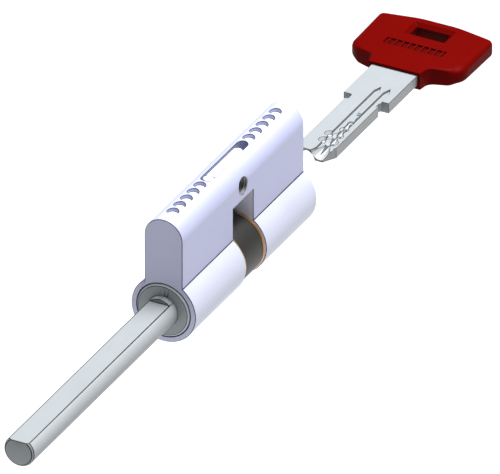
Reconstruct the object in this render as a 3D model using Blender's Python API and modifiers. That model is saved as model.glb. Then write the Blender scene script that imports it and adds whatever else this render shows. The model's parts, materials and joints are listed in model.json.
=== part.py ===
"""Euro profile cylinder lock: key side, shaft side, cam between them, and the dimple key drawn out in line.

Frame: metres. The origin is the centre of the fixing-screw hole, +X runs along the barrel towards the
key end, and +Z points to the rounded edge of the web. The barrel's axis lies AXIS_DROP below the origin.
The turning pieces are parented to empties on that axis, so their own coordinates are measured from it.
"""
from math import asin, cos, degrees, pi, radians, sin

import bmesh
import bpy
from mathutils import Matrix

# Profile of the body
BODY_LENGTH = 0.062
BARREL_RADIUS = 0.0085
WEB_WIDTH = 0.010
WEB_TOP_RADIUS = WEB_WIDTH / 2
AXIS_DROP = 0.019
AXIS_Z = -AXIS_DROP
WEB_TOP_CENTRE_Z = AXIS_Z + 0.0195
CAM_GAP_WIDTH = 0.0104
CAM_GAP_TOP_Z = AXIS_Z + 0.0153
SCREW_HOLE_RADIUS = 0.00225
BORE_RADIUS = 0.0071

# Pin chambers, the same count and pitch on both sides
CHAMBERS = 5
CHAMBER_PITCH = 0.0034
FIRST_CHAMBER_X = 0.0261
CHAMBER_RADIUS = 0.0014
BLIND_CHAMBER_FLOOR_Z = AXIS_Z + 0.0105
PLUG_TOP_Z = 0.0046
PLUG_THICKNESS = 0.0018
PLUG_RADIUS = CHAMBER_RADIUS - 0.0001
PIN_EDGE = 0.0002
PIN_RADIUS = 0.00125
DRIVER_LENGTH = 0.0045
DRIVER_FOOT = BORE_RADIUS
SHEAR_LINE = 0.00685
SPRING_RADIUS = 0.00095
SPRING_WIRE = 0.00017
SPRING_TURNS = 6
SPRING_SEAT = 0.0003

# Reinforcing bar in its slot across the cam gap
SLOT_RADIUS = 0.0014
SLOT_CENTRE_X = 0.009
SLOT_FLOOR_Z = CAM_GAP_TOP_Z - 0.0005
BAR_RADIUS = 0.00125
BAR_END_X = 0.0067
BAR_LOW_Z = CAM_GAP_TOP_Z + 0.0003
BAR_TOP_Z = 0.0048
DOWEL_X = -0.0081
DOWEL_TOP_Z = 0.0052
DOWEL_GAP = 0.0003
DOWEL_DOME = 0.0003

# Turning plugs
ROTOR_RADIUS = 0.0070
ROTOR_FACE_X = BODY_LENGTH / 2 + 0.0004
ROTOR_CHAMFER = 0.0005
ROTOR_BACK_X = CAM_GAP_WIDTH / 2 + 0.0001
NECK_RADIUS = 0.0056
CLIP_LOW_X = 0.0035
CLIP_HIGH_X = 0.0041
CLIP_GROOVE_RADIUS = 0.0050
CLIP_INNER_RADIUS = 0.00515
CLIP_OUTER_RADIUS = 0.0066
CLIP_PLAY = 0.0001
CLIP_OPENING = 35
KEY_NECK_END_X = 0.0024
SHAFT_NECK_END_X = -0.0004

# Washers and cam
WASHER_INNER_RADIUS = 0.0058
WASHER_OUTER_RADIUS = 0.0082
WASHER_LOW_X = 0.00445
WASHER_HIGH_X = 0.00495
CAM_RADIUS = 0.0081
CAM_HALF_WIDTH = 0.0043
CAM_BORE_RADIUS = 0.0059
CAM_RECESS_RADIUS = 0.0069
CAM_RECESS_X = 0.0033
LEVER_RADIUS = 0.0150
LEVER_ROOT_HALF = 0.0052
LEVER_TIP_HALF = 0.0030
LEVER_ANGLE = 30
DRIVE_LUG_HALF = 0.0010
DRIVE_LUG_DEPTH = 0.0044
DRIVE_LUG_PLAY = 0.0002
DRIVE_LUG_TOP = CAM_RADIUS - 0.0008
DRIVE_LUG_LOW_X = -0.0030

# D-shaft
SHAFT_RADIUS = 0.00395
SHAFT_FLAT = 0.0029
SHAFT_END_X = -0.1036
SHAFT_CHAMFER = 0.00045
FLAT_START_X = -0.0331
SHAFT_SEAT_X = -0.0163
SHAFT_SOCKET_X = -0.0160
SHAFT_SOCKET_RADIUS = 0.0041
SHAFT_PIN_X = -0.0205
SHAFT_PIN_RADIUS = 0.0010
SHAFT_PIN_HOLE_RADIUS = SHAFT_PIN_RADIUS + 0.0001
SHAFT_PIN_HALF = 0.0066

# Clutch between key and cam
CLUTCH_STEM = 0.0026
CLUTCH_BORE = 0.0028
CLUTCH_BACK_X = -0.0080
CLUTCH_BORE_END_X = -0.0134
DOG_LOW_X = 0.0047
DOG_HIGH_X = 0.0063
DOG_HALF = 0.0043
DOG_HALF_THICKNESS = 0.0011
DOG_CHAMBER_RADIUS = 0.0046
DOG_CHAMBER_LOW_X = 0.0045
DOG_CHAMBER_HIGH_X = 0.0067
DOG_SLOT_HALF = 0.0013
CLUTCH_EYE_RADIUS = 0.0030
PUSHER_RADIUS = 0.0012
PUSHER_END_X = 0.0084
CLUTCH_SPRING_RADIUS = 0.0017
CLUTCH_SPRING_WIRE = 0.00025
CLUTCH_SPRING_TURNS = 5

# Key, drawn out of the lock along X; KEY_SIDE is how far its middle lies beside the barrel's axis
KEY_SIDE = 0.0019
KEY_HALF_THICKNESS = 0.0014
KEY_TIP_X = 0.0490
KEY_NECK_X = 0.0744
KEY_SHOULDER_X = 0.0769
KEY_HEAD_X = 0.0916
BLADE_HALF_WIDTH = 0.0046
BLADE_TIP_HALF_WIDTH = 0.0026
BLADE_TIP_LENGTH = 0.0034
NOTCH_HALF_WIDTH = 0.0037
BASE_HALF_WIDTH = 0.0061
TANG_START_X = KEY_HEAD_X + 0.0014
TANG_END_X = 0.1045
TANG_HALF_WIDTH = 0.0045
DIMPLE_ROW = 0.0019
FIRST_DIMPLE_X = 0.0550
DIMPLE_DEPTHS = (0.0016, 0.0013, 0.0010, 0.00065, 0.00035)
DIMPLE_FLOOR_RADIUS = 0.00055
MIDDLE_DIMPLES_X = (0.0548, 0.0580)
MIDDLE_DIMPLE_DEPTH = 0.0006
TRACK_HALF_WIDTH = 0.0005
KEY_GROOVES = ((0.0000, 0.0015), (0.0026, 0.0041))
GROOVE_DEPTH = 0.0005
GROOVE_END_X = 0.0810
GROOVE_POINT_X = 0.0830
TIP_CONE_RADIUS = 0.0023
TIP_CONE_LENGTH = 0.0062
KEYWAY_HALF_HEIGHT = 0.0016
KEYWAY_CLEARANCE = 0.00015
PIN_SHOULDER = 0.0017
NOSE_RADIUS = 0.00042
NOSE_CLEARANCE = 0.0001

# the head's edge as (distance from KEY_HEAD_X, distance from the middle line)
HEAD_OUTLINE = ((0.0, 0.0069), (0.0023, 0.0075), (0.0036, 0.0088), (0.0043, 0.0109), (0.0052, 0.0133),
                (0.0068, 0.0149), (0.0088, 0.0153), (0.0216, 0.0153), (0.0227, 0.0147), (0.0234, 0.0125),
                (0.0241, 0.0084), (0.0246, 0.0040))
HEAD_HALF_THICKNESS = 0.0023
HEAD_ROUNDING = 0.0008
HEAD_GAP = 0.00015
RING_SLOT_X = 0.1105
RING_SLOT_HALF_LENGTH = 0.0021
RING_SLOT_HALF_WIDTH = 0.0046
LABEL_X = 0.1024
LABEL_HALF_LENGTH = 0.0013
LABEL_HALF_WIDTH = 0.0080
LABEL_DEPTH = 0.0003

PAST = 0.002          # how far a cutter runs beyond the face it cuts through
OVERLAP = 0.0005      # how far one step of a hollow, or one joined piece, reaches into the next
ROUND_STEPS = 64
SMALL_STEPS = 24
MERGE = 0.00001

PLANES = {
    "YZ": Matrix(((0, 0, 1, 0), (1, 0, 0, 0), (0, 1, 0, 0), (0, 0, 0, 1))),
    "XZ": Matrix(((1, 0, 0, 0), (0, 0, -1, 0), (0, 1, 0, 0), (0, 0, 0, 1))),
    "XY": Matrix.Identity(4),
}
ALONG = {
    "X": Matrix.Rotation(pi / 2, 4, "Y"),
    "Y": Matrix.Rotation(-pi / 2, 4, "X"),
    "Z": Matrix.Identity(4),
}

for leftover in list(bpy.data.objects):
    bpy.data.objects.remove(leftover, do_unlink=True)


def collection(name):
    made = bpy.data.collections.new(name)
    bpy.context.scene.collection.children.link(made)
    return made


PARTS = collection("euro_cylinder")
CUTTERS = collection("cutters")


def finish_material(name, colour, roughness, metallic):
    material = bpy.data.materials.new(name)
    material.use_nodes = True
    shader = material.node_tree.nodes["Principled BSDF"]
    shader.inputs["Base Color"].default_value = (*colour, 1)
    shader.inputs["Roughness"].default_value = roughness
    shader.inputs["Metallic"].default_value = metallic
    return material


NICKEL = finish_material("satin_nickel", (0.62, 0.62, 0.72), 0.35, 1.0)
STEEL = finish_material("ground_steel", (0.62, 0.65, 0.65), 0.32, 1.0)
BRASS = finish_material("brass", (0.72, 0.50, 0.22), 0.30, 1.0)
BLACKENED = finish_material("blackened_steel", (0.045, 0.045, 0.045), 0.45, 0.6)
SPRING_WIRE_STEEL = finish_material("spring_steel", (0.45, 0.46, 0.48), 0.30, 1.0)
RED_PLASTIC = finish_material("red_plastic", (0.30, 0.008, 0.004), 0.40, 0.0)


def axis_empty(name):
    empty = bpy.data.objects.new(name, None)
    empty.location = (0, 0, AXIS_Z)
    PARTS.objects.link(empty)
    return empty


DRIVE_AXIS = axis_empty("drive_axis")
KEY_PLUG_AXIS = axis_empty("key_plug_axis")


def place(name, mesh, material=None, parent=None):
    """A part when it has a material, and otherwise a cutter."""
    made = bpy.data.objects.new(name, mesh)
    made.parent = parent
    if material:
        made.data.materials.append(material)
        PARTS.objects.link(made)
    else:
        CUTTERS.objects.link(made)
        made.hide_render = True
        made.display_type = "WIRE"
    return made


def mesh_from(name, build):
    mesh = bpy.data.meshes.new(name)
    work = bmesh.new()
    build(work)
    work.to_mesh(mesh)
    work.free()
    return mesh


def smooth(mesh):
    mesh.shade_smooth()
    mesh.set_sharp_from_angle(angle=radians(30))
    return mesh


def cone(name, low, high, radius_low, radius_high, along, centre=(0, 0), steps=SMALL_STEPS, **to):
    """A round bar or cone from low to high along one axis; centre gives the other two coordinates."""
    middle = (low + high) / 2
    spot = {"X": (middle, *centre), "Y": (centre[0], middle, centre[1]), "Z": (*centre, middle)}[along]

    def build(work):
        bmesh.ops.create_cone(work, cap_ends=True, segments=steps, radius1=radius_low, radius2=radius_high,
                              depth=high - low, matrix=Matrix.Translation(spot) @ ALONG[along])

    return place(name, smooth(mesh_from(name, build)), **to)


def rod(name, low, high, radius, along, centre=(0, 0), steps=SMALL_STEPS, **to):
    return cone(name, low, high, radius, radius, along, centre, steps, **to)


def box(name, low, high, **to):
    size = [b - a for a, b in zip(low, high)]
    middle = [(a + b) / 2 for a, b in zip(low, high)]

    def build(work):
        bmesh.ops.create_cube(work, size=1, matrix=Matrix.Translation(middle) @ Matrix.Diagonal((*size, 1)))

    return place(name, mesh_from(name, build), **to)


def extruded(name, outline, low, high, plane, **to):
    """A flat outline in one plane, given a thickness from low to high across it."""
    curve = bpy.data.curves.new(name, "CURVE")
    curve.dimensions = "2D"
    curve.fill_mode = "BOTH"
    curve.extrude = (high - low) / 2
    spline = curve.splines.new("POLY")
    spline.points.add(len(outline) - 1)
    for point, (across, up) in zip(spline.points, outline):
        point.co = (across, up, 0, 1)
    spline.use_cyclic_u = True
    flat = bpy.data.objects.new(name, curve)
    PARTS.objects.link(flat)
    bpy.context.view_layer.update()
    mesh = bpy.data.meshes.new_from_object(flat.evaluated_get(bpy.context.evaluated_depsgraph_get()))
    bpy.data.objects.remove(flat)
    bpy.data.curves.remove(curve)
    side = -1 if plane == "XZ" else 1
    mesh.transform(PLANES[plane] @ Matrix.Translation((0, 0, side * (low + high) / 2)))
    work = bmesh.new()
    work.from_mesh(mesh)
    bmesh.ops.remove_doubles(work, verts=work.verts, dist=MERGE)
    bmesh.ops.recalc_face_normals(work, faces=work.faces)
    work.to_mesh(mesh)
    work.free()
    return place(name, smooth(mesh), **to)


def turned(name, profile, along, centre=(0, 0), steps=ROUND_STEPS, closed=False, **to):
    """A turned shape: profile lists (position along the axis, radius) from the high end to the low end."""
    mesh = bpy.data.meshes.new(name)
    edges = [(i, i + 1) for i in range(len(profile) - 1)]
    if closed:
        edges.append((len(profile) - 1, 0))
    mesh.from_pydata([(radius, 0, position) for position, radius in profile], edges, [])
    made = place(name, mesh, **to)
    spot = {"X": (0, *centre), "Y": (centre[0], 0, centre[1]), "Z": (*centre, 0)}[along]
    made.matrix_local = Matrix.Translation(spot) @ ALONG[along]
    screw = made.modifiers.new("turn", "SCREW")
    screw.axis = "Z"
    screw.steps = steps
    screw.render_steps = steps
    screw.use_merge_vertices = True
    screw.merge_threshold = MERGE
    screw.use_smooth_shade = True
    return made


def helix(name, radius, wire, turns, low, high, along, centre=(0, 0), steps=12, **to):
    """A coil spring of round wire, whose wire's outer faces reach low and high."""
    curve = bpy.data.curves.new(name, "CURVE")
    curve.dimensions = "3D"
    curve.bevel_depth = wire
    curve.bevel_resolution = 1
    curve.use_fill_caps = True
    spline = curve.splines.new("POLY")
    count = turns * steps
    spline.points.add(count)
    reach = high - low - 2 * wire
    for i, point in enumerate(spline.points):
        turn = 2 * pi * i / steps
        rise = low + wire + reach * i / count
        around = (radius * cos(turn), radius * sin(turn))
        spot = {"X": (rise, *around), "Z": (*around, rise)}[along]
        shift = {"X": (0, *centre), "Z": (*centre, 0)}[along]
        point.co = (*[a + b for a, b in zip(spot, shift)], 1)
    return place(name, curve, **to)


def boolean(target, operation, pieces, solver="EXACT"):
    for piece in pieces:
        step = target.modifiers.new(f"{operation.lower()}_{piece.name}", "BOOLEAN")
        step.operation = operation
        step.solver = solver
        step.object = piece
    return target


def cut(target, *pieces, **how):
    return boolean(target, "DIFFERENCE", pieces, **how)


def join(target, *pieces):
    return boolean(target, "UNION", pieces)


def arc(centre, radius, start, end, steps):
    """Points round an arc, angles in degrees from the first axis of the outline's plane."""
    angles = [radians(start + (end - start) * i / steps) for i in range(steps + 1)]
    return [(centre[0] + radius * cos(a), centre[1] + radius * sin(a)) for a in angles]


def stadium(centre_low, centre_high, radius, steps=12):
    return (arc((centre_high, 0), radius, -90, 90, steps)
            + arc((centre_low, 0), radius, 90, 270, steps))


def mirrored(half):
    """A whole outline from the half of it on the positive side, listed low X to high X."""
    return [(x, -y) for x, y in half] + [(x, y) for x, y in reversed(half)]


def chamber_places():
    for number in range(CHAMBERS):
        yield number + 1, FIRST_CHAMBER_X - number * CHAMBER_PITCH


def make_housing():
    web_angle = degrees(asin(WEB_WIDTH / 2 / BARREL_RADIUS))
    outline = (arc((0, WEB_TOP_CENTRE_Z), WEB_TOP_RADIUS, 0, 180, SMALL_STEPS)
               + arc((0, AXIS_Z), BARREL_RADIUS, 90 + web_angle, 450 - web_angle, ROUND_STEPS))
    half = BODY_LENGTH / 2
    housing = extruded("housing", outline, -half, half, "YZ", material=NICKEL)
    gap = CAM_GAP_WIDTH / 2
    above = WEB_TOP_CENTRE_Z + WEB_TOP_RADIUS + PAST
    cut(housing,
        rod("bore_cutter", -half - PAST, half + PAST, BORE_RADIUS, "X", (0, AXIS_Z), ROUND_STEPS),
        box("cam_gap_cutter", (-gap, -2 * BARREL_RADIUS, 2 * AXIS_Z),
            (gap, 2 * BARREL_RADIUS, CAM_GAP_TOP_Z)),
        rod("screw_cutter", -WEB_WIDTH, WEB_WIDTH, SCREW_HOLE_RADIUS, "Y", (0, 0), 32),
        extruded("slot_cutter", stadium(-SLOT_CENTRE_X, SLOT_CENTRE_X, SLOT_RADIUS),
                 SLOT_FLOOR_Z, above, "XY"))
    key_chamber_low = AXIS_Z + BORE_RADIUS / 2
    for number, x in chamber_places():
        cut(housing,
            rod(f"key_chamber_cutter_{number}", key_chamber_low, above, CHAMBER_RADIUS, "Z", (x, 0)),
            rod(f"blind_chamber_cutter_{number}", BLIND_CHAMBER_FLOOR_Z, above, CHAMBER_RADIUS,
                "Z", (-x, 0)))


def make_bridge():
    bar = extruded("bridge_bar", arc((BAR_END_X, 0), BAR_RADIUS, -90, 90, 12)
                   + [(DOWEL_X, BAR_RADIUS), (DOWEL_X, -BAR_RADIUS)],
                   BAR_LOW_Z, BAR_TOP_Z, "XY", material=STEEL)
    cut(bar,
        rod("bar_screw_cutter", -WEB_WIDTH, WEB_WIDTH, SCREW_HOLE_RADIUS, "Y", (0, 0), 32),
        rod("bar_dowel_cutter", -BODY_LENGTH, BODY_LENGTH, BAR_RADIUS + DOWEL_GAP, "Z", (DOWEL_X, 0)))
    turned("bridge_dowel",
           [(DOWEL_TOP_Z, 0), (DOWEL_TOP_Z - DOWEL_DOME / 4, BAR_RADIUS / 2),
            (DOWEL_TOP_Z - DOWEL_DOME, BAR_RADIUS),
            (BAR_LOW_Z, BAR_RADIUS), (BAR_LOW_Z, 0)],
           "Z", (DOWEL_X, 0), SMALL_STEPS, material=STEEL)


def make_chamber_plugs():
    top = PLUG_TOP_Z
    foot = top - PLUG_THICKNESS
    for side, sign in (("key", 1), ("shaft", -1)):
        for number, x in chamber_places():
            turned(f"{side}_chamber_plug_{number}",
                   [(top, 0), (top, PLUG_RADIUS - PIN_EDGE), (top - PIN_EDGE, PLUG_RADIUS),
                    (foot, PLUG_RADIUS), (foot, 0)],
                   "Z", (sign * x, 0), SMALL_STEPS, material=STEEL)


def make_pin_stacks():
    """Each stack from the top: spring, driver pin in the body, key pin in the plug."""
    driver_low = AXIS_Z + DRIVER_FOOT
    driver_top = driver_low + DRIVER_LENGTH
    edge = PIN_EDGE
    for number, x in chamber_places():
        helix(f"pin_spring_{number}", SPRING_RADIUS, SPRING_WIRE, SPRING_TURNS, driver_top + SPRING_SEAT,
              PLUG_TOP_Z - PLUG_THICKNESS - SPRING_SEAT, "Z", (x, 0), material=SPRING_WIRE_STEEL)
        turned(f"driver_pin_{number}",
               [(driver_top, 0), (driver_top, PIN_RADIUS - edge), (driver_top - edge, PIN_RADIUS),
                (driver_low + edge, PIN_RADIUS), (driver_low, PIN_RADIUS - edge), (driver_low, 0)],
               "Z", (x, 0), SMALL_STEPS, material=STEEL)
        # the chamber farthest in takes the deepest dimple, which is the first one from the key's tip
        depth = DIMPLE_DEPTHS[CHAMBERS - number]
        nose = KEY_HALF_THICKNESS - depth + NOSE_CLEARANCE
        turned(f"key_pin_{number}",
               [(SHEAR_LINE, 0), (SHEAR_LINE, PIN_RADIUS - edge), (SHEAR_LINE - edge, PIN_RADIUS),
                (PIN_SHOULDER + edge, PIN_RADIUS), (PIN_SHOULDER, PIN_RADIUS - edge),
                (PIN_SHOULDER, NOSE_RADIUS), (nose, NOSE_RADIUS), (nose, 0)],
               "Z", (x, 0), SMALL_STEPS, material=BRASS, parent=KEY_PLUG_AXIS)


def make_key_plug():
    face = ROTOR_FACE_X
    plug = turned("key_plug",
                  [(face, 0), (face, ROTOR_RADIUS - ROTOR_CHAMFER), (face - ROTOR_CHAMFER, ROTOR_RADIUS),
                   (ROTOR_BACK_X, ROTOR_RADIUS), (ROTOR_BACK_X, NECK_RADIUS),
                   (CLIP_HIGH_X + CLIP_PLAY, NECK_RADIUS), (CLIP_HIGH_X + CLIP_PLAY, CLIP_GROOVE_RADIUS),
                   (CLIP_LOW_X - CLIP_PLAY, CLIP_GROOVE_RADIUS), (CLIP_LOW_X - CLIP_PLAY, NECK_RADIUS),
                   (KEY_NECK_END_X, NECK_RADIUS), (KEY_NECK_END_X, 0)],
                  "X", material=STEEL, parent=KEY_PLUG_AXIS)
    on_axis = {"parent": KEY_PLUG_AXIS}
    blade_side = KEY_SIDE - BLADE_HALF_WIDTH - KEYWAY_CLEARANCE
    cut(plug,
        rod("dog_chamber_cutter", DOG_CHAMBER_LOW_X, DOG_CHAMBER_HIGH_X, DOG_CHAMBER_RADIUS, "X",
            steps=32, **on_axis),
        box("keyway_cutter", (DOG_CHAMBER_HIGH_X - OVERLAP, blade_side, -KEYWAY_HALF_HEIGHT),
            (face + PAST, ROTOR_RADIUS + PAST, KEYWAY_HALF_HEIGHT), **on_axis),
        box("dog_slot_cutter", (KEY_NECK_END_X - PAST, -DOG_CHAMBER_RADIUS, -DOG_SLOT_HALF),
            (DOG_CHAMBER_LOW_X + OVERLAP, DOG_CHAMBER_RADIUS, DOG_SLOT_HALF), **on_axis),
        rod("clutch_eye_cutter", KEY_NECK_END_X - PAST, DOG_CHAMBER_LOW_X + OVERLAP, CLUTCH_EYE_RADIUS, "X",
            steps=32, **on_axis))
    for number, x in chamber_places():
        cut(plug, rod(f"pin_hole_cutter_{number}", OVERLAP, ROTOR_RADIUS + PAST, CHAMBER_RADIUS, "Z", (x, 0),
                      **on_axis))


def make_shaft_plug():
    face = -ROTOR_FACE_X
    plug = turned("shaft_plug",
                  [(SHAFT_NECK_END_X, 0), (SHAFT_NECK_END_X, NECK_RADIUS),
                   (CLIP_PLAY - CLIP_LOW_X, NECK_RADIUS), (CLIP_PLAY - CLIP_LOW_X, CLIP_GROOVE_RADIUS),
                   (-CLIP_HIGH_X - CLIP_PLAY, CLIP_GROOVE_RADIUS), (-CLIP_HIGH_X - CLIP_PLAY, NECK_RADIUS),
                   (-ROTOR_BACK_X, NECK_RADIUS), (-ROTOR_BACK_X, ROTOR_RADIUS),
                   (face + ROTOR_CHAMFER, ROTOR_RADIUS), (face, ROTOR_RADIUS - ROTOR_CHAMFER), (face, 0)],
                  "X", material=STEEL, parent=DRIVE_AXIS)
    on_axis = {"parent": DRIVE_AXIS}
    lug = DRIVE_LUG_HALF + DRIVE_LUG_PLAY
    cut(plug,
        rod("clutch_bore_cutter", CLUTCH_BORE_END_X, PAST, CLUTCH_BORE, "X", steps=6, **on_axis),
        rod("shaft_socket_cutter", face - PAST, SHAFT_SOCKET_X, SHAFT_SOCKET_RADIUS, "X", steps=48,
            **on_axis),
        rod("plug_pin_cutter", -BARREL_RADIUS, BARREL_RADIUS, SHAFT_PIN_HOLE_RADIUS, "Y", (SHAFT_PIN_X, 0),
            **on_axis),
        box("drive_lug_cutter", (DRIVE_LUG_LOW_X - DRIVE_LUG_PLAY, -lug, DRIVE_LUG_DEPTH - DRIVE_LUG_PLAY),
            (PAST, lug, BARREL_RADIUS), **on_axis))


def make_shaft():
    end = SHAFT_END_X
    shaft = turned("shaft",
                   [(SHAFT_SEAT_X, 0), (SHAFT_SEAT_X, SHAFT_RADIUS), (end + SHAFT_CHAMFER, SHAFT_RADIUS),
                    (end, SHAFT_RADIUS - SHAFT_CHAMFER), (end, 0)],
                   "X", steps=48, material=STEEL, parent=DRIVE_AXIS)
    on_axis = {"parent": DRIVE_AXIS}
    cut(shaft,
        box("flat_cutter", (end - PAST, -BARREL_RADIUS, SHAFT_FLAT),
            (FLAT_START_X, BARREL_RADIUS, BARREL_RADIUS), **on_axis),
        rod("shaft_pin_cutter", -BARREL_RADIUS, BARREL_RADIUS, SHAFT_PIN_HOLE_RADIUS, "Y", (SHAFT_PIN_X, 0),
            **on_axis))
    rod("shaft_pin", -SHAFT_PIN_HALF, SHAFT_PIN_HALF, SHAFT_PIN_RADIUS, "Y", (SHAFT_PIN_X, 0),
        material=STEEL, parent=DRIVE_AXIS)


def make_cam():
    """A ring with a lever, which stands LEVER_ANGLE from upright, on the +Y side."""
    root_angle = degrees(asin(LEVER_ROOT_HALF / CAM_RADIUS))
    tip_angle = degrees(asin(LEVER_TIP_HALF / LEVER_RADIUS))
    lever = 90 - LEVER_ANGLE
    outline = (arc((0, 0), CAM_RADIUS, lever + root_angle, lever + 360 - root_angle, ROUND_STEPS)
               + arc((0, 0), LEVER_RADIUS, lever - tip_angle, lever + tip_angle, 8))
    cam = extruded("cam", outline, -CAM_HALF_WIDTH, CAM_HALF_WIDTH, "YZ",
                   material=BLACKENED, parent=DRIVE_AXIS)
    on_axis = {"parent": DRIVE_AXIS, "steps": 48}
    wide = CAM_HALF_WIDTH + PAST
    cut(cam,
        rod("cam_bore_cutter", -wide, wide, CAM_BORE_RADIUS, "X", **on_axis),
        rod("cam_recess_cutter_low", -wide, -CAM_RECESS_X, CAM_RECESS_RADIUS, "X", **on_axis),
        rod("cam_recess_cutter_high", CAM_RECESS_X, wide, CAM_RECESS_RADIUS, "X", **on_axis))
    join(cam, box("drive_lug", (DRIVE_LUG_LOW_X, -DRIVE_LUG_HALF, DRIVE_LUG_DEPTH),
                  (SHAFT_NECK_END_X, DRIVE_LUG_HALF, DRIVE_LUG_TOP), parent=DRIVE_AXIS))


def make_washers_and_clips():
    for side, sign, parent in (("key", 1, KEY_PLUG_AXIS), ("shaft", -1, DRIVE_AXIS)):
        washer_low, washer_high = sorted((sign * WASHER_LOW_X, sign * WASHER_HIGH_X))
        turned(f"{side}_washer",
               [(washer_high, WASHER_INNER_RADIUS), (washer_high, WASHER_OUTER_RADIUS),
                (washer_low, WASHER_OUTER_RADIUS), (washer_low, WASHER_INNER_RADIUS)],
               "X", (0, AXIS_Z), closed=True, material=BRASS)
        clip_low, clip_high = sorted((sign * CLIP_LOW_X, sign * CLIP_HIGH_X))
        outline = (arc((0, 0), CLIP_OUTER_RADIUS, CLIP_OPENING - 90, 270 - CLIP_OPENING, 40)
                   + arc((0, 0), CLIP_INNER_RADIUS, 270 - CLIP_OPENING, CLIP_OPENING - 90, 40))
        extruded(f"{side}_circlip", outline, clip_low, clip_high, "YZ",
                 material=SPRING_WIRE_STEEL, parent=parent)


def make_clutch():
    on_axis = {"parent": DRIVE_AXIS}
    clutch = rod("clutch", CLUTCH_BACK_X, DOG_LOW_X + OVERLAP, CLUTCH_STEM, "X", steps=6,
                 material=STEEL, **on_axis)
    join(clutch,
         box("dog", (DOG_LOW_X, -DOG_HALF, -DOG_HALF_THICKNESS), (DOG_HIGH_X, DOG_HALF, DOG_HALF_THICKNESS),
             **on_axis),
         rod("pusher", DOG_HIGH_X - OVERLAP, PUSHER_END_X, PUSHER_RADIUS, "X", **on_axis))
    helix("clutch_spring", CLUTCH_SPRING_RADIUS, CLUTCH_SPRING_WIRE, CLUTCH_SPRING_TURNS,
          CLUTCH_BORE_END_X + SPRING_SEAT, CLUTCH_BACK_X - SPRING_SEAT, "X",
          material=SPRING_WIRE_STEEL, **on_axis)


def key_outline():
    half = [(KEY_TIP_X, BLADE_TIP_HALF_WIDTH), (KEY_TIP_X + BLADE_TIP_LENGTH, BLADE_HALF_WIDTH),
            (KEY_NECK_X, BLADE_HALF_WIDTH), (KEY_NECK_X, NOTCH_HALF_WIDTH),
            (KEY_SHOULDER_X, NOTCH_HALF_WIDTH), (KEY_SHOULDER_X, BASE_HALF_WIDTH),
            (TANG_START_X, BASE_HALF_WIDTH), (TANG_START_X, TANG_HALF_WIDTH), (TANG_END_X, TANG_HALF_WIDTH)]
    return [(x, y + KEY_SIDE) for x, y in mirrored(half)]


def key_face_cutters(face, sign):
    """Dimples, the track that the pins' noses run in, grooves and tip cone of one face.

    The other face repeats them half a turn round the blade's own middle line.
    """

    def dimple(name, x, y, depth):
        levels = sorted((sign * (top - depth), sign * (top + depth)))
        radii = (DIMPLE_FLOOR_RADIUS, DIMPLE_FLOOR_RADIUS + 2 * depth)[::sign]
        cutters.append(cone(f"{face}_{name}_cutter", *levels, *radii, "Z", (x, y), **on_axis))

    on_axis = {"parent": KEY_PLUG_AXIS}
    row = KEY_SIDE - sign * DIMPLE_ROW
    top = KEY_HALF_THICKNESS
    start = KEY_TIP_X - PAST
    cutters = [cone(f"{face}_tip_cone_cutter", KEY_TIP_X, KEY_TIP_X + TIP_CONE_LENGTH, TIP_CONE_RADIUS, 0,
                    "X", (row, sign * (top + NOSE_CLEARANCE)), 32, **on_axis)]
    steps = []
    for number, depth in enumerate(DIMPLE_DEPTHS):
        x = FIRST_DIMPLE_X + number * CHAMBER_PITCH
        dimple(f"dimple_{number + 1}", x, row, depth)
        floor = sign * (top - depth - NOSE_CLEARANCE / 2)
        steps += [(steps[-1][0] if steps else start, floor), (x + TRACK_HALF_WIDTH, floor)]
    steps += [(steps[-1][0], sign * (top + PAST)), (start, sign * (top + PAST))]
    cutters.append(extruded(f"{face}_track_cutter", steps, row - TRACK_HALF_WIDTH, row + TRACK_HALF_WIDTH,
                            "XZ", **on_axis))
    for number, x in enumerate(MIDDLE_DIMPLES_X):
        dimple(f"middle_dimple_{number + 1}", x, KEY_SIDE, MIDDLE_DIMPLE_DEPTH)
    for number, sides in enumerate(KEY_GROOVES):
        near, far = (KEY_SIDE - sign * side for side in sides)
        low, high = sorted((sign * (top - GROOVE_DEPTH), sign * (top + PAST)))
        outline = [(start, near), (GROOVE_END_X, near), (GROOVE_POINT_X, (near + far) / 2),
                   (GROOVE_END_X, far), (start, far)]
        cutters.append(extruded(f"{face}_groove_cutter_{number + 1}", outline, low, high, "XY", **on_axis))
    return cutters


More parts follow.
